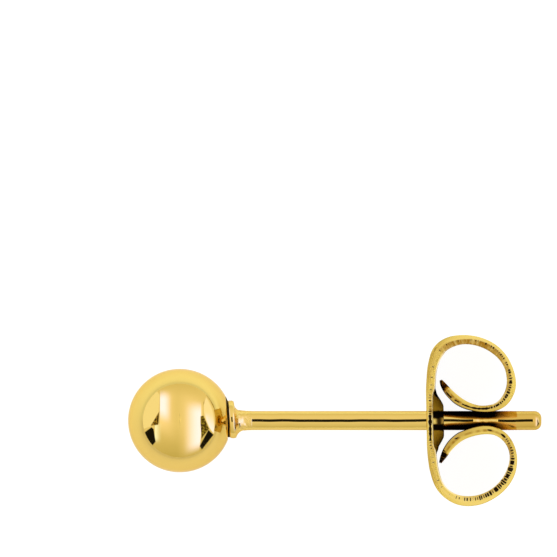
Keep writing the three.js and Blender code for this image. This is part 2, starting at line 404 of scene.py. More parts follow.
# Polished gold up to the disc's back, then solder as it froze: bright, with pits a tenth of a
# millimetre apart.
solder = bpy.data.materials.new("gold_solder")
solder.use_nodes = True
tree = solder.node_tree
tree.nodes.clear()
spot = add(tree, "ShaderNodeTexCoord").outputs["Object"]
froze = add(tree, "ShaderNodeAttribute", attribute_name="solder").outputs["Fac"]
pits = add(tree, "ShaderNodeTexNoise", {"Vector": spot, "Scale": 11.0 / MM, "Detail": 2.0})
pitted = add(tree, "ShaderNodeMapRange", {0: pits, 1: 0.35, 2: 0.65, 3: 0.12, 4: 0.30})
rough = add(tree, "ShaderNodeMix", {"Factor": froze, 2: 0.015, 3: pitted})
toward_post = add(
    tree, "ShaderNodeVectorMath", {0: spot, 1: (1.0, math.tan(COLLAR_LEAN), 0.0)}, operation="DOT_PRODUCT"
).outputs["Value"]
neck = (BALL_AT.x + NECK_TO + BALL_AT.y * math.tan(COLLAR_LEAN)) * MM
# Painted shadow: the collar's neck is black up to the disc, as the shadow of the seam.
seam_shadow = add(tree, "ShaderNodeMapRange", {0: toward_post, 1: neck + 0.004 * MM, 2: neck - 0.004 * MM})
tint = add(tree, "ShaderNodeMix", {"Factor": seam_shadow, 6: GOLD, 7: SEAM_SHADOW}, data_type="RGBA")
rough = add(tree, "ShaderNodeMix", {"Factor": seam_shadow, 2: rough, 3: 0.6})
height = add(tree, "ShaderNodeMath", {0: pits, 1: froze}, operation="MULTIPLY")
relief = add(tree, "ShaderNodeBump", {"Height": height, "Strength": 0.18, "Distance": 0.02 * MM})
shader = add(
    tree, "ShaderNodeBsdfPrincipled",
    {
        "Base Color": tint.outputs[2], "Metallic": 1.0, "Specular Tint": RIM, "Roughness": rough,
        "Normal": relief,
    },
)
add(tree, "ShaderNodeOutputMaterial", {"Surface": shader})
collar_mesh = turned("collar", finer(COLLAR, COLLAR_STEP), COLLAR_AROUND, soldered)
frozen = collar_mesh.attributes.new("solder", "FLOAT", "POINT")
for vertex, solid in zip(collar_mesh.vertices, frozen.data):
    here = vertex.co / MM - BALL_AT
    solid.value = min(1.0, max(0.0, (here.x + math.tan(COLLAR_LEAN) * here.y - SOLDER_FROM) / 0.04))
dressed("collar", collar_mesh, solder, "stud", "ball_stud")


# ---- the post ----
# Gold wire drawn to 0.74 mm and burnished, with a rolled friction notch for the clutch and a
# rounded end. Its foot is soldered into the collar.
POST_R = 0.37
POST_FOOT = 2.2
POST_END = 13.946
END_ROUND = 0.27
NOTCH_AT = 11.79
NOTCH_LENGTH = 0.86
NOTCH_DEPTH = 0.025
NOTCH_DENTS = 0.035  # how uneven the rolling left it
SLOW_WAVER = 0.006  # how far the wire is out of round, in long waves and in short ones
QUICK_WAVER = 0.003
POST_PARTS = 180
END_PARTS = 9
POST_AROUND = 64


def ease(x):
    """A smooth ramp from 0 to 1."""
    t = min(max(x, 0.0), 1.0)
    return t * t * (3 - 2 * t)


def notch(along):
    """How deep the notch is at a distance along the post."""
    return ease(1.6 * (1 - abs(2 * (along - NOTCH_AT) / NOTCH_LENGTH)))


def drawn(point, radius, turn):
    """The wire as drawn and rolled: hardly out of round, and dented at the notch."""
    if not radius:
        return point
    slow = noise.noise(Vector((0.45 * point.x, 3.0, 1.0)))
    quick = noise.noise(Vector((1.6 * point.x, 8.0, 2.0)))
    waver = SLOW_WAVER * slow + QUICK_WAVER * quick
    dents = notch(point.x)
    grown = 1 - NOTCH_DEPTH * dents / POST_R + NOTCH_DENTS * dents * noise.noise(point * 6.0)
    grown += 2.0 * waver * math.sin(2 * (turn - math.pi / 2)) / POST_R
    return Vector((point.x, point.y * grown, point.z * grown))


# Burnished gold wire: as bright as the ball, with a crisper mirror and the die's faint lengthwise
# lines, a dozen to the millimetre. The end that fingers hold is a little deeper in colour.
HANDLED = linear("#d9b153")
HANDLED_FROM = 6.2  # from the middle of the earring
HANDLED_FULLY = 7.0
wire = bpy.data.materials.new("burnished_gold_wire")
wire.use_nodes = True
tree = wire.node_tree
tree.nodes.clear()
spot = add(tree, "ShaderNodeTexCoord").outputs["Object"]
stretched = add(tree, "ShaderNodeMapping", {"Vector": spot, "Scale": (0.02, 1.0, 1.0)})
die_lines = add(tree, "ShaderNodeTexNoise", {"Vector": stretched, "Scale": 12.0 / MM, "Detail": 3.0})
rough = add(tree, "ShaderNodeMapRange", {0: die_lines, 1: 0.3, 2: 0.7, 3: 0.008, 4: 0.022})
toward_end = add(tree, "ShaderNodeSeparateXYZ", {0: spot}).outputs[0]
handled = add(
    tree, "ShaderNodeMapRange", {0: toward_end, 1: HANDLED_FROM * MM, 2: HANDLED_FULLY * MM},
    interpolation_type="SMOOTHSTEP",
)
tint = add(tree, "ShaderNodeMix", {"Factor": handled, 6: GOLD, 7: HANDLED}, data_type="RGBA").outputs[2]
shader = add(
    tree, "ShaderNodeBsdfPrincipled",
    {"Base Color": tint, "Metallic": 1.0, "Specular Tint": RIM, "Roughness": rough},
)
add(tree, "ShaderNodeOutputMaterial", {"Surface": shader})

straight = [POST_FOOT + (POST_END - END_ROUND - POST_FOOT) * i / POST_PARTS for i in range(POST_PARTS + 1)]
post_profile = [(POST_FOOT, 0.0)] + [(along, POST_R) for along in straight]
for i in range(1, END_PARTS + 1):
    a = math.pi / 2 * i / END_PARTS
    post_profile.append((POST_END - END_ROUND * (1 - math.sin(a)), POST_R - END_ROUND * (1 - math.cos(a))))
post_profile.append((POST_END, 0.0))
dressed("post", turned("post", post_profile, POST_AROUND, drawn), wire, "stud", "ball_stud")


# ---- the butterfly clutch ----
# One strip of gold sheet, pressed out in a die: pierced, dimpled round the hole, and both halves
# rolled into scrolls that spring against the post and hold by friction alone. Its edge is left as
# the die sheared it, bright in places and torn in others.
PLATE_AT = 9.64  # middle of the sheet, from the ball's centre
LEAN_AT = 9.78  # the clutch sits turned a little on the post, about this point
LEAN = math.radians(1.0)
# Each half's line: the straight run from the plate's middle, then each bend's radius and sweep.
UPPER = (1.039, ((4.976, 16.89), (0.72, 45.25), (1.788, 112.09), (0.931, 87.39), (1.846, 73.8)))
LOWER = (0.900, ((4.167, 19.62), (1.225, 62.78), (1.739, 89.86), (1.108, 104.41), (1.922, 64.0)))
PATH_STEP = 0.02
# How finely the flat blank is divided, and its full width at a distance from the plate's middle.
ROWS_ALONG = 691
ROWS_ACROSS = 49
ROWS_THROUGH = 13
WIDTHS = ((0.0, 4.0), (0.9, 4.0), (2.0, 4.0), (5.2, 3.5), (8.3, 2.9), (10.4, 2.4))
# The reach of the curves that are read along one half, along the strip, and out from the dimple.
HALF_REACH = 10.5
STRIP_REACH = 21.0
SPAN_REACH = 12.0
FACES = (
    # along the strip from the lower tip: how far the inner and the outer face are from its line
    (0.00, 0.055, 0.045), (0.15, 0.105, 0.070), (0.36, 0.150, 0.108), (0.66, 0.170, 0.148),
    (0.96, 0.175, 0.175), (1.26, 0.175, 0.180), (1.56, 0.188, 0.145), (1.86, 0.205, 0.131),
    (2.16, 0.211, 0.131), (2.46, 0.195, 0.135), (2.76, 0.165, 0.139), (3.06, 0.150, 0.143),
    (3.66, 0.143, 0.131), (4.26, 0.147, 0.165), (4.56, 0.162, 0.189), (4.86, 0.170, 0.197),
    (5.76, 0.179, 0.187), (6.36, 0.179, 0.204), (6.96, 0.177, 0.204), (7.26, 0.167, 0.189),
    (7.56, 0.162, 0.177), (8.16, 0.168, 0.170), (8.76, 0.196, 0.154), (9.06, 0.212, 0.139),
    (9.36, 0.205, 0.130), (9.66, 0.130, 0.130), (11.46, 0.130, 0.130), (11.76, 0.208, 0.131),
    (12.06, 0.235, 0.131), (12.36, 0.222, 0.143), (12.66, 0.230, 0.160), (12.96, 0.258, 0.162),
    (13.26, 0.300, 0.166), (13.56, 0.272, 0.181), (13.86, 0.235, 0.197), (14.16, 0.212, 0.181),
    (14.46, 0.198, 0.162), (15.06, 0.198, 0.152), (15.66, 0.181, 0.168), (16.26, 0.150, 0.166),
    (16.56, 0.147, 0.158), (16.86, 0.166, 0.158), (17.16, 0.189, 0.162), (17.46, 0.200, 0.170),
    (17.76, 0.187, 0.178), (18.06, 0.150, 0.197), (18.36, 0.104, 0.197), (18.66, 0.075, 0.190),
    (18.96, 0.064, 0.185), (19.26, 0.081, 0.187), (19.56, 0.104, 0.200), (19.86, 0.131, 0.200),
    (20.16, 0.146, 0.176), (20.46, 0.143, 0.150), (20.72, 0.115, 0.112), (20.86, 0.080, 0.075),
    (20.93, 0.045, 0.045),
)
# How deep the dimple is, out from its middle.
DIMPLE = ((0.0, 0.42), (0.55, 0.42), (0.64, 0.40), (0.72, 0.36), (1.20, 0.055), (1.29, 0.01), (1.38, 0.0))
DIMPLE_LOW = 0.02  # how far its middle is toward the lower scroll
# The cut edge through the sheet, from the inner face (0) to the outer one (1), and how far in it
# lies: rolled over where the punch entered, burnished flat, and broken off at the outer face.
EDGE = (
    (0.0, 0.022), (0.08, 0.006), (0.30, 0.004), (0.46, 0.003), (0.54, 0.0), (0.86, 0.001), (0.95, 0.008),
    (1.0, 0.04),
)
# Where the painted shade in the cradle fades in, along the strip from the plate's middle, and where it
# fades out, across the strip from the post.
CRADLE_FROM = 7.0
CRADLE_FULLY = 8.0
CRADLE_WITHIN = 0.45
CRADLE_TO = 1.25
# The painted dark reflection in the dimple, out from its middle: how dark the metal is painted, how
# bright the painted highlight on the ridge by the post is, and how black the ridge's painted shade gets at
# its waist.
DIMPLE_DARKENING = ((0.0, 1.0), (0.56, 1.0), (0.64, 0.5), (1.22, 0.5), (1.36, 0.0))
RIDGE_HIGHLIGHT = ((0.0, 0.0), (0.6, 0.35), (0.80, 0.35), (0.87, 0.0), (0.99, 0.0), (1.06, 1.0))
RIDGE_WAIST = (
    (0.0, 0.4), (0.66, 0.45), (0.75, 0.71), (0.81, 0.87), (0.92, 0.97), (0.99, 0.88), (1.05, 0.71),
    (1.12, 0.5), (1.2, 0.4), (1.38, 0.0),
)
# How wide the painted shade spreads in the corners behind the tips, up the strip from 2 mm below the
# plate's middle.
BEHIND_TIPS = (
    (0.0, 0.22), (1.9, 0.22), (2.1, 0.36), (2.65, 0.36), (2.80, 0.42), (2.90, 0.62), (3.05, 0.85), (3.2, 1.1),
)


def half_path(straight_run, bends, side):
    """Points along one half of the strip, from the middle of the plate to its tip."""
    points = [(0.0, 0.0), (0.0, side * straight_run)]
    x, y, heading = 0.0, straight_run, math.pi / 2
    for radius, sweep in bends:
        parts = math.ceil(radius * math.radians(sweep) / PATH_STEP)
        for _ in range(parts):
            turn = math.radians(sweep) / parts
            x += radius * (math.sin(heading) - math.sin(heading - turn))
            y -= radius * (math.cos(heading) - math.cos(heading - turn))
            heading -= turn
            points.append((x, side * y))
    return points


def run(points):
    """The length of a line of points."""
    return sum(math.dist(a, b) for a, b in zip(points, points[1:]))


upper = half_path(*UPPER, 1)
lower = half_path(*LOWER, -1)
upper_run = run(upper)
lower_run = run(lower)
strip_line = bpy.data.curves.new("strip_line", "CURVE")
strip_line.dimensions = "3D"
spline = strip_line.splines.new("POLY")
line_points = lower[::-1] + upper[1:]
spline.points.add(len(line_points) - 1)
for point, (x, y) in zip(spline.points, line_points):
    across = PLATE_AT + x - LEAN_AT
    point.co = (
        LEAN_AT + across * math.cos(LEAN) - y * math.sin(LEAN) + BALL_AT.x,
        across * math.sin(LEAN) + y * math.cos(LEAN) + BALL_AT.y,
        BALL_AT.z,
        1.0,
    )
path_object = bpy.data.objects.new("strip_line", strip_line)
bpy.context.scene.collection.objects.link(path_object)


def curved(tree, value, pairs, longest):
    """A smooth curve through given pairs, read at a value of up to the longest."""
    scaled = add(tree, "ShaderNodeMath", {0: value, 1: longest}, operation="DIVIDE")
    made = add(tree, "ShaderNodeFloatCurve", {"Value": scaled})
    mapping = made.mapping
    mapping.use_clip = False
    mapping.extend = "HORIZONTAL"
    points = mapping.curves[0].points
    while len(points) < len(pairs):
        points.new(0.5, 0.5)
    for point, (at, level) in zip(points, pairs):
        point.location = (at / longest, level)
    mapping.update()
    return made


# Rolled gold sheet, die-cut. Its faces keep the satin of the rolls. Its cut edge is bright where the
# punch went in and burnished it, and duller below, where the metal broke off in fine ribs with painted
# shade in their gaps. The cradle is painted black as shade. The dimple is painted dark as a reflection
# and black as shade by the post, with a painted highlight on its ridge.
TORN = (
    # along the strip from the lower tip: how badly torn, which sets how much painted shade lies between the
    # ribs, the middle of the torn band, half its height, how far it is drawn out lengthwise, how dull the
    # break is, how much painted shade darkens the outer side
    (0.0, 1.4, 0.55, 0.50, 0.0, 0.3, 0.2), (0.40, 1.3, 0.60, 0.45, 0.0, 0.3, 0.2),
    (0.60, 0.3, 0.90, 0.12, 1.0, 0.0, 0.2), (1.3, 0.30, 0.52, 0.08, 1.0, 0.0, 0.2),
    (2.2, 0.30, 0.50, 0.07, 1.0, 0.0, 0.1), (2.7, 0.35, 0.50, 0.08, 1.0, 0.0, 0.0),
    (3.06, 0.85, 0.52, 0.12, 0.8, 0.3, 0.0), (3.5, 0.45, 0.45, 0.17, 0.1, 0.8, 0.0),
    (4.0, 0.65, 0.42, 0.22, 0.0, 0.7, 0.0), (4.4, 1.0, 0.36, 0.25, 0.0, 0.6, 0.0),
    (5.1, 0.95, 0.34, 0.25, 0.0, 0.6, 0.0), (5.7, 0.9, 0.33, 0.22, 0.1, 0.6, 0.0),
    (6.3, 0.50, 0.34, 0.19, 0.0, 0.4, 0.0), (6.9, 0.30, 0.32, 0.17, 0.0, 0.2, 0.0),
    (7.3, 0.10, 0.30, 0.14, 0.0, 0.0, 0.1), (7.7, 0.0, 0.40, 0.10, 0.0, 0.0, 0.1),
    (8.4, 0.0, 0.40, 0.10, 0.0, 0.0, 0.7), (9.2, 0.25, 0.45, 0.12, 0.0, 0.3, 0.5),
    (9.80, 0.4, 0.45, 0.14, 0.0, 0.5, 0.3), (9.90, 1.5, 0.45, 0.17, 0.6, 0.3, 0.3),
    (10.3, 1.5, 0.43, 0.20, 0.6, 0.3, 0.3), (10.70, 1.5, 0.42, 0.27, 0.6, 0.3, 0.3),
    (10.84, 0.5, 0.42, 0.20, 0.2, 0.8, 0.3), (11.2, 0.35, 0.42, 0.18, 0.0, 0.6, 0.3),
    (11.9, 0.10, 0.45, 0.12, 0.0, 0.3, 0.4), (12.5, 0.0, 0.45, 0.10, 0.0, 0.1, 0.7),
    (13.4, 0.10, 0.45, 0.10, 0.0, 0.6, 0.6), (14.2, 0.15, 0.42, 0.12, 0.0, 1.0, 0.1),
    (15.0, 0.20, 0.52, 0.13, 0.0, 1.0, 0.0), (15.8, 0.40, 0.56, 0.13, 0.0, 0.8, 0.0),
    (16.5, 0.50, 0.50, 0.14, 0.0, 0.7, 0.0), (17.1, 0.70, 0.44, 0.15, 0.0, 0.7, 0.0),
    (17.7, 0.80, 0.38, 0.15, 0.1, 0.6, 0.0), (18.36, 0.9, 0.38, 0.13, 0.4, 0.5, 0.0),
    (18.7, 1.0, 0.46, 0.16, 0.8, 0.6, 0.0), (19.0, 1.1, 0.50, 0.15, 1.0, 0.5, 0.0),
    (19.3, 1.3, 0.55, 0.11, 1.0, 0.2, 0.0), (19.6, 1.1, 0.56, 0.09, 1.0, 0.0, 0.0),
    (19.9, 0.7, 0.60, 0.08, 1.0, 0.0, 0.0), (20.2, 0.9, 0.74, 0.11, 1.0, 0.0, 0.0),
    (20.5, 1.2, 0.76, 0.12, 1.0, 0.0, 0.0), (20.74, 1.3, 0.82, 0.18, 0.8, 0.0, 0.0),
    (20.86, 1.4, 0.60, 0.50, 0.0, 0.0, 0.0),
)
BURR = (
    # along the strip: how brown the burr that runs along it is, its middle, how brown the edge is
    # round it, and how black the outer lip is painted as a dark reflection
    (0.0, 0.0, 0.50, 0.3, 1.0), (0.5, 0.9, 0.50, 0.60, 0.9), (1.0, 0.9, 0.50, 0.55, 0.7),
    (1.6, 0.7, 0.48, 0.40, 0.4), (2.2, 0.8, 0.44, 0.20, 0.1), (2.8, 0.6, 0.45, 0.10, 0.0),
    (3.4, 0.3, 0.50, 0.25, 0.0), (4.2, 0.0, 0.50, 0.0, 0.0), (17.2, 0.0, 0.50, 0.0, 0.0),
    (18.3, 0.4, 0.50, 0.2, 0.0), (19.0, 0.6, 0.50, 0.35, 0.4), (19.6, 0.7, 0.50, 0.45, 0.9),
    (20.1, 0.9, 0.52, 0.55, 0.5), (20.5, 0.6, 0.40, 0.85, 0.5), (20.93, 0.3, 0.40, 1.0, 1.0),
)
RIB = 0.1  # from one rib of the break to the next
FACE = linear("#d0b058")  # the rolled faces
CUT = linear("#e6c860")  # the edge, where the die burnished it
DULL = linear("#9c6e16")  # the break, the burr, and the painted shade on the edge's outer side
RIB_SHADE = linear("#1c1104")  # painted shade, down between the ribs
DARK_REFLECTION = linear("#c08f10")  # gold darkened as a painted reflection
HIGHLIGHT_GOLD = linear("#ffda50")  # painted highlight on the ridge by the post
SHADE_BLACK = linear("#0c0703")  # painted shade, black, in the cradle and the dimple
stamped = bpy.data.materials.new("stamped_gold_sheet")
stamped.use_nodes = True
tree = stamped.node_tree
tree.nodes.clear()
spot = add(tree, "ShaderNodeTexCoord").outputs["Object"]
along = add(tree, "ShaderNodeAttribute", attribute_name="along").outputs["Fac"]
depth = add(tree, "ShaderNodeAttribute", attribute_name="depth").outputs["Fac"]
cut = add(tree, "ShaderNodeAttribute", attribute_name="cut").outputs["Fac"]
soot = add(tree, "ShaderNodeAttribute", attribute_name="soot").outputs["Fac"]
level_up = add(tree, "ShaderNodeSeparateXYZ", {0: spot}).outputs[2]
side = add(tree, "ShaderNodeMath", {0: level_up, 1: BALL_AT.z * MM}, operation="GREATER_THAN")


def lengthwise(per_mm, apart):
    """Noise that changes only along the strip, and differs between its two edges."""
    shift = add(tree, "ShaderNodeMath", {0: side, 1: 40.0, 2: apart}, operation="MULTIPLY_ADD")
    where = add(tree, "ShaderNodeMath", {0: along, 1: per_mm, 2: shift}, operation="MULTIPLY_ADD")
    return add(tree, "ShaderNodeTexNoise", {"W": where, "Scale": 1.0, "Detail": 0.0}, noise_dimensions="1D")


torn_much, torn_middle, torn_half, drawn_long, dull, shaded_side = (
    curved(tree, along, [(row[0], row[i]) for row in TORN], STRIP_REACH) for i in range(1, 7)
)
burr, burr_middle, browned, lip = (
    curved(tree, along, [(row[0], row[i]) for row in BURR], STRIP_REACH) for i in range(1, 5)
)
# The ribs of the break, with painted shade in their gaps: uneven waves along the strip, or long dashes where
# it is drawn out.
turns = add(tree, "ShaderNodeMath", {0: lengthwise(1.3, 3.0), 1: 9.0}, operation="MULTIPLY")
turns = add(tree, "ShaderNodeMath", {0: along, 1: 2 * math.pi / RIB, 2: turns}, operation="MULTIPLY_ADD")
wave = add(tree, "ShaderNodeMath", {0: turns}, operation="SINE")
uneven = add(tree, "ShaderNodeMath", {0: lengthwise(7.0, 11.0), 1: 0.9, 2: 0.05}, operation="MULTIPLY_ADD")
ribs = add(tree, "ShaderNodeMath", {0: wave, 1: 0.3, 2: uneven}, operation="MULTIPLY_ADD")
dashes = add(tree, "ShaderNodeMath", {0: lengthwise(3.0, 51.0), 1: 1.1, 2: -0.05}, operation="MULTIPLY_ADD")
ribs = add(tree, "ShaderNodeMix", {"Factor": drawn_long, 2: ribs, 3: dashes})
level = add(tree, "ShaderNodeMapRange", {0: torn_much, 3: 0.92, 4: 0.28}, clamp=False)
above = add(tree, "ShaderNodeMath", {0: ribs, 1: level}, operation="SUBTRACT")
rib = add(tree, "ShaderNodeMapRange", {0: above, 1: -0.10, 2: 0.10}, interpolation_type="SMOOTHSTEP")
# They keep to a ragged band through the sheet, and in places the outer lip is painted black as well, as a
# dark reflection.
ragged = add(tree, "ShaderNodeMapRange", {0: lengthwise(7.0, 23.0), 1: 0.3, 2: 0.7, 3: 0.75, 4: 1.25})
band_half = add(tree, "ShaderNodeMath", {0: torn_half, 1: ragged}, operation="MULTIPLY")
off_middle = add(tree, "ShaderNodeMath", {0: depth, 1: torn_middle}, operation="SUBTRACT")
off_middle = add(tree, "ShaderNodeMath", {0: off_middle}, operation="ABSOLUTE")
off_middle = add(tree, "ShaderNodeMath", {0: off_middle, 1: band_half}, operation="DIVIDE")
band = add(tree, "ShaderNodeMapRange", {0: off_middle, 1: 1.15, 2: 0.80}, interpolation_type="SMOOTHSTEP")
torn_and_shaded = add(tree, "ShaderNodeMath", {0: rib, 1: band}, operation="MULTIPLY")
on_lip = add(tree, "ShaderNodeMapRange", {0: depth, 1: 0.84, 2: 0.94}, interpolation_type="SMOOTHSTEP")
on_lip = add(tree, "ShaderNodeMath", {0: on_lip, 1: lip}, operation="MULTIPLY")
torn_and_shaded = add(tree, "ShaderNodeMath", {0: torn_and_shaded, 1: on_lip}, operation="MAXIMUM")
torn_and_shaded = add(tree, "ShaderNodeMath", {0: torn_and_shaded, 1: cut}, operation="MULTIPLY")
# From the band's middle to the inner face the break is dull and gritty.
past_middle = add(tree, "ShaderNodeMath", {0: depth, 1: torn_middle}, operation="SUBTRACT")
broken = add(tree, "ShaderNodeMapRange", {0: past_middle, 1: 0.18, 2: 0.04}, interpolation_type="SMOOTHSTEP")
broken = add(tree, "ShaderNodeMath", {0: broken, 1: cut}, operation="MULTIPLY")
broken = add(tree, "ShaderNodeMath", {0: broken, 1: dull}, operation="MULTIPLY")
drawn_out = add(tree, "ShaderNodeMath", {0: along, 1: 9.0}, operation="MULTIPLY")
drawn_out = add(tree, "ShaderNodeCombineXYZ", {0: drawn_out, 1: depth, 2: side})
grit = add(tree, "ShaderNodeTexNoise", {"Vector": drawn_out, "Scale": 1.0, "Detail": 3.0})
dull_and_shaded = add(tree, "ShaderNodeMapRange", {0: grit, 1: 0.30, 2: 0.55, 3: 0.3, 4: 1.0})
dull_and_shaded = add(tree, "ShaderNodeMath", {0: dull_and_shaded, 1: broken}, operation="MULTIPLY")
# A brown burr runs along the edge and browns it toward the outer lip.
off_burr = add(tree, "ShaderNodeMath", {0: depth, 1: burr_middle}, operation="SUBTRACT")
off_burr = add(tree, "ShaderNodeMath", {0: off_burr}, operation="ABSOLUTE")
on_burr = add(tree, "ShaderNodeMapRange", {0: off_burr, 1: 0.22, 2: 0.07}, interpolation_type="SMOOTHSTEP")
rough_burr = add(tree, "ShaderNodeMapRange", {0: lengthwise(4.0, 67.0), 1: 0.3, 2: 0.55, 3: 0.3, 4: 1.0})
on_burr = add(tree, "ShaderNodeMath", {0: on_burr, 1: rough_burr}, operation="MULTIPLY")
on_burr = add(tree, "ShaderNodeMath", {0: on_burr, 1: burr}, operation="MULTIPLY")
toward_lip = add(tree, "ShaderNodeMapRange", {0: depth, 1: 0.15, 2: 0.60, 3: 0.2, 4: 1.0})
browned = add(tree, "ShaderNodeMath", {0: browned, 1: toward_lip}, operation="MULTIPLY")
browned = add(tree, "ShaderNodeMath", {0: browned, 1: on_burr}, operation="MAXIMUM")
browned = add(tree, "ShaderNodeMath", {0: browned, 1: cut}, operation="MULTIPLY")
dull_and_shaded = add(tree, "ShaderNodeMath", {0: dull_and_shaded, 1: browned}, operation="MAXIMUM")
# The faces are clean or painted dark as a reflection, with a painted highlight on the ridge by the post, and
# the cut edge is bright.
painted_dark = add(tree, "ShaderNodeMapRange", {0: soot, 1: 0.0, 2: 0.5})
wiped = add(tree, "ShaderNodeAttribute", attribute_name="wiped").outputs["Fac"]
dimple_reflection = add(tree, "ShaderNodeMix", {"Factor": wiped, 6: DARK_REFLECTION, 7: HIGHLIGHT_GOLD}, data_type="RGBA").outputs[2]
face = add(tree, "ShaderNodeMix", {"Factor": painted_dark, 6: FACE, 7: dimple_reflection}, data_type="RGBA").outputs[2]
clean = add(tree, "ShaderNodeMix", {"Factor": cut, 6: face, 7: CUT}, data_type="RGBA").outputs[2]
# Painted shade darkens and browns the edge's outer side in streaks.
streaks_at = add(tree, "ShaderNodeMath", {0: depth, 1: 7.0}, operation="MULTIPLY")
streaks_at = add(tree, "ShaderNodeCombineXYZ", {0: along, 1: streaks_at, 2: side})
streaks = add(tree, "ShaderNodeTexNoise", {"Vector": streaks_at, "Scale": 2.0, "Detail": 2.0})
streaks = add(tree, "ShaderNodeMapRange", {0: streaks, 1: 0.45, 2: 0.65, 3: 0.0, 4: 0.45})
outer = add(tree, "ShaderNodeMapRange", {0: depth, 1: 0.20, 2: 0.95, 3: 0.08, 4: 0.60})
side_shade = add(tree, "ShaderNodeMath", {0: outer, 1: streaks}, operation="ADD")
side_shade = add(tree, "ShaderNodeMath", {0: side_shade, 1: shaded_side}, operation="MULTIPLY")
side_shade = add(tree, "ShaderNodeMath", {0: side_shade, 1: cut}, operation="MULTIPLY")
dull_and_shaded = add(tree, "ShaderNodeMath", {0: dull_and_shaded, 1: side_shade}, operation="MAXIMUM")
tint = add(tree, "ShaderNodeMix", {"Factor": dull_and_shaded, 6: clean, 7: DULL}, data_type="RGBA").outputs[2]
# Painted shade is black: in the cradle, in the dimple by the post and behind the tips, and in the gaps
# between the ribs.
black = add(tree, "ShaderNodeMapRange", {0: soot, 1: 0.5, 2: 1.0})
uncut = add(tree, "ShaderNodeMath", {0: 1.0, 1: cut}, operation="SUBTRACT")
black = add(tree, "ShaderNodeMath", {0: black, 1: uncut}, operation="MULTIPLY")
black = add(tree, "ShaderNodeMath", {0: black, 1: torn_and_shaded}, operation="MAXIMUM")
darkest = add(tree, "ShaderNodeMix", {"Factor": cut, 6: SHADE_BLACK, 7: RIB_SHADE}, data_type="RGBA").outputs[2]
tint = add(tree, "ShaderNodeMix", {"Factor": black, 6: tint, 7: darkest}, data_type="RGBA").outputs[2]
# Satin on the faces, in patches of 0.4 mm, smoother on the cut edge, and matt where they are painted dark.
rolled = add(tree, "ShaderNodeTexNoise", {"Vector": spot, "Scale": 2.5 / MM, "Detail": 4.0})
smooth = add(tree, "ShaderNodeMapRange", {0: rolled, 1: 0.3, 2: 0.7, 3: 0.06, 4: 0.14})
satin = add(tree, "ShaderNodeMapRange", {0: rolled, 1: 0.3, 2: 0.7, 3: 0.16, 4: 0.26})
rough = add(tree, "ShaderNodeMix", {"Factor": cut, 2: satin, 3: smooth})
rough = add(tree, "ShaderNodeMix", {"Factor": broken, 2: rough, 3: 0.25})
matt_shaded = add(tree, "ShaderNodeMath", {0: painted_dark, 1: uncut}, operation="MULTIPLY")
rough = add(tree, "ShaderNodeMix", {"Factor": matt_shaded, 2: rough, 3: 0.45})
bare = add(tree, "ShaderNodeMapRange", {0: matt_shaded, 3: 1.0, 4: 0.35})
bare = add(tree, "ShaderNodeMath", {0: bare, 1: wiped}, operation="SUBTRACT", use_clamp=True)
bare = add(tree, "ShaderNodeMath", {0: bare, 1: black}, operation="MAXIMUM")
rough = add(tree, "ShaderNodeMix", {"Factor": black, 2: rough, 3: 0.55})
height = add(tree, "ShaderNodeMath", {0: grit, 1: broken}, operation="MULTIPLY")
height = add(tree, "ShaderNodeMath", {0: height, 1: torn_and_shaded}, operation="SUBTRACT")
relief = add(tree, "ShaderNodeBump", {"Height": height, "Strength": 0.5, "Distance": 0.02 * MM})
shader = add(
    tree, "ShaderNodeBsdfPrincipled",
    {"Base Color": tint, "Metallic": bare, "Specular Tint": RIM, "Roughness": rough, "Normal": relief},
)
add(tree, "ShaderNodeOutputMaterial", {"Surface": shader})

# The press's sizes: the strip's run, how far the plate's middle is from the run's, the lower half's
# run, then the hole, the tips and the grooves in which the scrolls hold the post.
press = bpy.data.node_groups.new("clutch_press", "GeometryNodeTree")
SIZES = {
    "Run": upper_run + lower_run,
    "Middle": (upper_run - lower_run) / 2,
    "Foot": lower_run,
    "Hole Radius": 0.395,
    "Tip Round": 0.5,
    "Tip Least": 0.25,
    "Groove Upper": 0.08,
    "Groove Lower": 0.20,
    "Groove At": 8.28,
    "Groove Reach": 0.9,
    "Groove Half": 0.5,
}
sockets = {}
for name, value in SIZES.items():
    sockets[name] = press.interface.new_socket(name, in_out="INPUT", socket_type="NodeSocketFloat")
sockets["Line"] = press.interface.new_socket("Line", in_out="INPUT", socket_type="NodeSocketObject")
sockets["Finish"] = press.interface.new_socket("Finish", in_out="INPUT", socket_type="NodeSocketMaterial")
press.interface.new_socket("Geometry", in_out="OUTPUT", socket_type="NodeSocketGeometry")
given = add(press, "NodeGroupInput").outputs

# The flat blank: along X, across Y and through Z, with the last two from -1 to 1.
block = add(
    press, "GeometryNodeMeshCube",
    {"Size": add(press, "ShaderNodeCombineXYZ", {0: given["Run"], 1: 2.0, 2: 2.0}),
     "Vertices X": ROWS_ALONG, "Vertices Y": ROWS_ACROSS, "Vertices Z": ROWS_THROUGH},
)
# The punch is half as wide across, because the plate is 2 mm to each side and the blank is 1.
punch = add(press, "GeometryNodeMeshCylinder", {"Vertices": 96, "Radius": given["Hole Radius"], "Depth": 4.0})
punch_at = add(press, "ShaderNodeMath", {0: given["Middle"], 1: -1.0}, operation="MULTIPLY")
punch = add(
    press, "GeometryNodeTransform",
    {"Geometry": punch.outputs["Mesh"], "Scale": (1.0, 0.5, 1.0),
     "Translation": add(press, "ShaderNodeCombineXYZ", {0: punch_at})},
)
pierced = add(
    press, "GeometryNodeMeshBoolean", {"Mesh 1": block.outputs["Mesh"], "Mesh 2": punch},
    operation="DIFFERENCE",
)
parts = add(press, "ShaderNodeSeparateXYZ", {0: add(press, "GeometryNodeInputPosition")})
along_run, across_unit, through_unit = parts.outputs
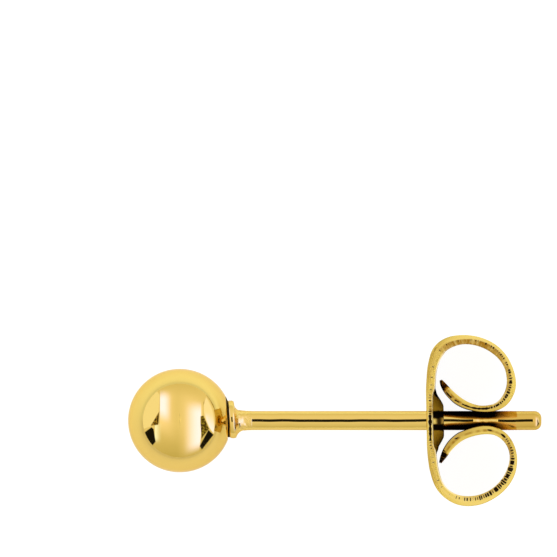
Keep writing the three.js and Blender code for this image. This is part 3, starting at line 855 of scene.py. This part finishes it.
# A place on it, from the plate's middle (at, and far to either side) and from the lower tip.
at = add(press, "ShaderNodeMath", {0: along_run, 1: given["Middle"]}, operation="ADD")
far = add(press, "ShaderNodeMath", {0: at}, operation="ABSOLUTE")
# Half its width, from a curve of a quarter of it, since a curve's heights stay within 1.
quarter = curved(press, far, [(a, w / 4) for a, w in WIDTHS], HALF_REACH)
half_width = add(press, "ShaderNodeMath", {0: quarter, 1: 2.0}, operation="MULTIPLY")
from_foot = add(press, "ShaderNodeMath", {0: at, 1: given["Foot"]}, operation="ADD")
inner_face = curved(press, from_foot, [(a, inner) for a, inner, _ in FACES], STRIP_REACH)
outer_face = curved(press, from_foot, [(a, outer) for a, _, outer in FACES], STRIP_REACH)

# Its tips are rounded in plan.
half_run = add(press, "ShaderNodeMath", {0: given["Run"], 1: 2.0}, operation="DIVIDE")
from_mid = add(press, "ShaderNodeMath", {0: along_run}, operation="ABSOLUTE")
to_end = add(press, "ShaderNodeMath", {0: half_run, 1: from_mid}, operation="SUBTRACT")
bite = add(press, "ShaderNodeMath", {0: given["Tip Round"], 1: to_end}, operation="SUBTRACT")
bite = add(press, "ShaderNodeMath", {0: bite, 1: 0.0}, operation="MAXIMUM")
bite = add(press, "ShaderNodeMath", {0: bite, 1: given["Tip Round"]}, operation="DIVIDE")
bite = add(press, "ShaderNodeMath", {0: bite, 1: bite}, operation="MULTIPLY")
left_over = add(press, "ShaderNodeMath", {0: 1.0, 1: bite}, operation="SUBTRACT")
left_over = add(press, "ShaderNodeMath", {0: left_over, 1: 0.0}, operation="MAXIMUM")
rounding = add(press, "ShaderNodeMath", {0: left_over, 1: 0.5}, operation="POWER")
half_width = add(press, "ShaderNodeMath", {0: half_width, 1: rounding}, operation="MULTIPLY")
half_width = add(press, "ShaderNodeMath", {0: half_width, 1: given["Tip Least"]}, operation="MAXIMUM")

# The cut edge.
through = add(press, "ShaderNodeMapRange", {0: through_unit, 1: -1.0, 2: 1.0})
inset = curved(press, through, EDGE, 1.0)
reach = add(press, "ShaderNodeMath", {0: half_width, 1: inset}, operation="SUBTRACT")
across = add(press, "ShaderNodeMath", {0: reach, 1: across_unit}, operation="MULTIPLY")
on_edge = add(press, "ShaderNodeMath", {0: across_unit}, operation="ABSOLUTE")
on_edge = add(press, "ShaderNodeMath", {0: on_edge, 1: 0.999}, operation="GREATER_THAN")

# The grooves that cradle the post, on the outer face, and the dimple drawn toward the inner side.
is_upper = add(press, "ShaderNodeMath", {0: at, 1: 0.0}, operation="GREATER_THAN")
groove_depth = add(
    press, "ShaderNodeMapRange", {0: is_upper, 3: given["Groove Lower"], 4: given["Groove Upper"]}
)
gap_s = add(press, "ShaderNodeMath", {0: far, 1: given["Groove At"]}, operation="SUBTRACT")
gap_s = add(press, "ShaderNodeMath", {0: gap_s}, operation="ABSOLUTE")
groove_s = add(
    press, "ShaderNodeMapRange", {0: gap_s, 1: given["Groove Reach"], 2: 0.25, 3: 0.0, 4: 1.0},
    interpolation_type="SMOOTHSTEP",
)
gap_z = add(press, "ShaderNodeMath", {0: across}, operation="ABSOLUTE")
groove_z = add(
    press, "ShaderNodeMapRange", {0: gap_z, 1: given["Groove Half"], 2: 0.0, 3: 0.0, 4: 1.0},
    interpolation_type="SMOOTHSTEP",
)
groove = add(press, "ShaderNodeMath", {0: groove_s, 1: groove_z}, operation="MULTIPLY")
groove = add(press, "ShaderNodeMath", {0: groove, 1: groove_depth}, operation="MULTIPLY")
groove = add(press, "ShaderNodeMath", {0: groove, 1: through}, operation="MULTIPLY")
lowered = add(press, "ShaderNodeMath", {0: at, 1: DIMPLE_LOW}, operation="ADD")
span = add(press, "ShaderNodeCombineXYZ", {0: lowered, 1: across})
span = add(press, "ShaderNodeVectorMath", {0: span}, operation="LENGTH").outputs["Value"]
dimple = curved(press, span, DIMPLE, SPAN_REACH)
thick = add(press, "ShaderNodeMath", {0: inner_face, 1: outer_face}, operation="ADD")
offset = add(press, "ShaderNodeMath", {0: thick, 1: through}, operation="MULTIPLY")
offset = add(press, "ShaderNodeMath", {0: offset, 1: inner_face}, operation="SUBTRACT")
offset = add(press, "ShaderNodeMath", {0: offset, 1: groove}, operation="SUBTRACT")
offset = add(press, "ShaderNodeMath", {0: offset, 1: dimple}, operation="SUBTRACT")

# Painted shade: the outer face from the cradle to the tip. The dimple is painted dark as well.
in_cradle = add(
    press, "ShaderNodeMapRange", {0: far, 1: CRADLE_FROM, 2: CRADLE_FULLY}, interpolation_type="SMOOTHSTEP"
)
near_post = add(
    press, "ShaderNodeMapRange", {0: gap_z, 1: CRADLE_TO, 2: CRADLE_WITHIN}, interpolation_type="SMOOTHSTEP"
)
facing = add(press, "ShaderNodeMath", {0: through, 1: 0.5}, operation="GREATER_THAN")
in_cradle = add(press, "ShaderNodeMath", {0: in_cradle, 1: near_post}, operation="MULTIPLY")
in_cradle = add(press, "ShaderNodeMath", {0: in_cradle, 1: facing}, operation="MULTIPLY")
# In the dimple a dark reflection is painted as a film, with painted shade black in the corners by the post,
# where its edge wanders.
dimple_reflection = curved(press, span, DIMPLE_DARKENING, SPAN_REACH)
patchy = add(press, "ShaderNodeTexNoise", {"Vector": add(press, "GeometryNodeInputPosition"), "Scale": 2.5})
patchy = add(press, "ShaderNodeMath", {0: patchy, 1: 0.5}, operation="SUBTRACT")
from_post = add(press, "ShaderNodeMath", {0: patchy, 1: 0.22, 2: at}, operation="MULTIPLY_ADD")
from_post = add(press, "ShaderNodeMath", {0: from_post}, operation="ABSOLUTE")
on_ridge = add(press, "ShaderNodeMapRange", {0: from_post, 1: 0.12, 2: 0.07}, interpolation_type="SMOOTHSTEP")
bright = curved(press, span, RIDGE_HIGHLIGHT, SPAN_REACH)
wiped = add(press, "ShaderNodeMath", {0: on_ridge, 1: bright}, operation="MULTIPLY")
waist = curved(press, span, RIDGE_WAIST, SPAN_REACH)
by_post = add(press, "ShaderNodeMapRange", {0: from_post, 1: 0.07, 2: 0.13}, interpolation_type="SMOOTHSTEP")
by_post = add(press, "ShaderNodeMath", {0: by_post, 1: waist}, operation="MAXIMUM")
not_far = add(press, "ShaderNodeMapRange", {0: from_post, 1: 0.47, 2: 0.37}, interpolation_type="SMOOTHSTEP")
by_post = add(press, "ShaderNodeMath", {0: by_post, 1: not_far}, operation="MULTIPLY")
# The painted shade is black again behind the tips, and all of it lies on the inner face alone.
from_below = add(press, "ShaderNodeMath", {0: at, 1: 2.0}, operation="ADD")
shaded = curved(press, from_below, BEHIND_TIPS, SPAN_REACH)
slant = add(press, "ShaderNodeMath", {0: gap_z, 1: far}, operation="DIVIDE")
slant = add(press, "ShaderNodeMath", {0: slant, 1: shaded}, operation="DIVIDE")
behind_tip = add(press, "ShaderNodeMapRange", {0: slant, 1: 1.2, 2: 0.7}, interpolation_type="SMOOTHSTEP")
dimple_shade = add(press, "ShaderNodeMath", {0: by_post, 1: behind_tip}, operation="MAXIMUM")
in_reach = add(press, "ShaderNodeMapRange", {0: span, 1: 1.42, 2: 1.28}, interpolation_type="SMOOTHSTEP")
behind = add(press, "ShaderNodeMath", {0: through, 1: 0.5}, operation="LESS_THAN")
in_reach = add(press, "ShaderNodeMath", {0: in_reach, 1: behind}, operation="MULTIPLY")
dimple_shade = add(press, "ShaderNodeMath", {0: dimple_shade, 1: in_reach}, operation="MULTIPLY")
wiped = add(press, "ShaderNodeMath", {0: wiped, 1: in_reach}, operation="MULTIPLY")
in_dimple = add(press, "ShaderNodeMath", {0: dimple_reflection, 1: dimple_shade}, operation="MAXIMUM")
painted_shade_mask = add(press, "ShaderNodeMath", {0: in_cradle, 1: in_dimple}, operation="MAXIMUM")

# The blank is rolled along its line, and each place is marked for its finish.
line = add(press, "GeometryNodeObjectInfo", {"Object": given["Line"]})
where = add(
    press, "GeometryNodeSampleCurve", {"Curves": line.outputs["Geometry"], "Length": from_foot}, mode="LENGTH"
)
outward = add(
    press, "ShaderNodeVectorMath", {0: (0.0, 0.0, 1.0), 1: where.outputs["Tangent"]},
    operation="CROSS_PRODUCT",
)
outward = add(press, "ShaderNodeVectorMath", {0: outward, "Scale": offset}, operation="SCALE")
upright = add(press, "ShaderNodeCombineXYZ", {2: across})
final = add(press, "ShaderNodeVectorMath", {0: where.outputs["Position"], 1: outward}, operation="ADD")
final = add(press, "ShaderNodeVectorMath", {0: final, 1: upright}, operation="ADD")
marked = pierced
marks = {"along": from_foot, "depth": through, "cut": on_edge, "soot": painted_shade_mask, "wiped": wiped}
for name, field in marks.items():
    marked = add(press, "GeometryNodeStoreNamedAttribute", {"Geometry": marked, "Name": name, "Value": field})
rolled_up = add(press, "GeometryNodeSetPosition", {"Geometry": marked, "Position": final})
in_metres = add(press, "GeometryNodeTransform", {"Geometry": rolled_up, "Scale": (MM, MM, MM)})
# The line runs the other way round from the blank's own axes, which turns its faces inward.
turned_out = add(press, "GeometryNodeFlipFaces", {"Mesh": in_metres})
smoothed = add(press, "GeometryNodeSetShadeSmooth", {"Geometry": turned_out})
whole = add(press, "GeometryNodeRealizeInstances", {"Geometry": smoothed})
finished = add(press, "GeometryNodeSetMaterial", {"Geometry": whole, "Material": given["Finish"]})
add(press, "NodeGroupOutput", {"Geometry": finished})

blank = bpy.data.objects.new("clutch_blank", bpy.data.meshes.new("clutch_blank"))
bpy.context.scene.collection.objects.link(blank)
pressing = blank.modifiers.new("press", "NODES")
pressing.node_group = press
for name, value in SIZES.items():
    pressing[sockets[name].identifier] = value
pressing[sockets["Line"].identifier] = path_object
pressing[sockets["Finish"].identifier] = stamped
pressed = blank.evaluated_get(bpy.context.evaluated_depsgraph_get())
clutch_mesh = bpy.data.meshes.new_from_object(pressed)
clutch_mesh.name = "clutch"
clutch_mesh.set_sharp_from_angle(angle=math.radians(40))
bpy.data.objects.remove(blank)
bpy.data.objects.remove(path_object)
dressed("clutch", clutch_mesh, stamped, "clutch", "butterfly_clutch")
